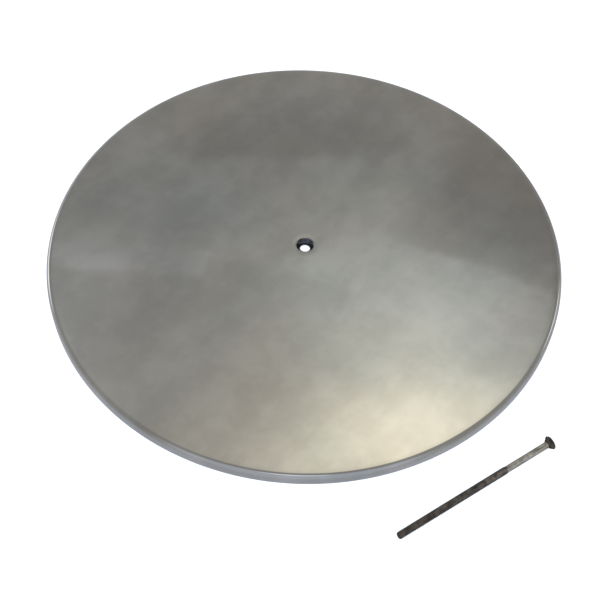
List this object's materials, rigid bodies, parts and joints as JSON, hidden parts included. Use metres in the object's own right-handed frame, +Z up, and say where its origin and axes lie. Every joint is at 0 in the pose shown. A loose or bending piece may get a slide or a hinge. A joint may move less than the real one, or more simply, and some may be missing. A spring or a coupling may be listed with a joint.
{
  "type": "round cleanout cover plate",
  "caption": "Round flat steel cover plate with a turned-down rim and a countersunk centre hole, and its long flat-head fixing screw lying loose beside it.",
  "frame": {"origin": "on the plate's axis, in the plane that the lower edge of its rim stands on", "axes": "+Z up along the plate's axis, out of its top face; +X to the right; the loose screw lies at the front right, at +X and -Y"},
  "size_m": [0.3048, 0.3332, 0.0078],
  "materials": {
    "polished_sheet": "semi-polished stainless sheet, soft blurred reflections, faint handling marks",
    "screw_steel": "plain rolled steel screw, dull shank, dark oily thread"
  },
  "bodies": {
    "cover": {"cover_plate": "polished_sheet"},
    "screw": {"cover_screw": "screw_steel"}
  },
  "joints": [
    {"name": "screw_turn", "type": "hinge", "parent": "cover", "child": "screw", "pos_m": [0.1339, -0.1243, 0.00392], "axis": [-0.8274, -0.5613, -0.0187], "continuous": true}
  ]
}
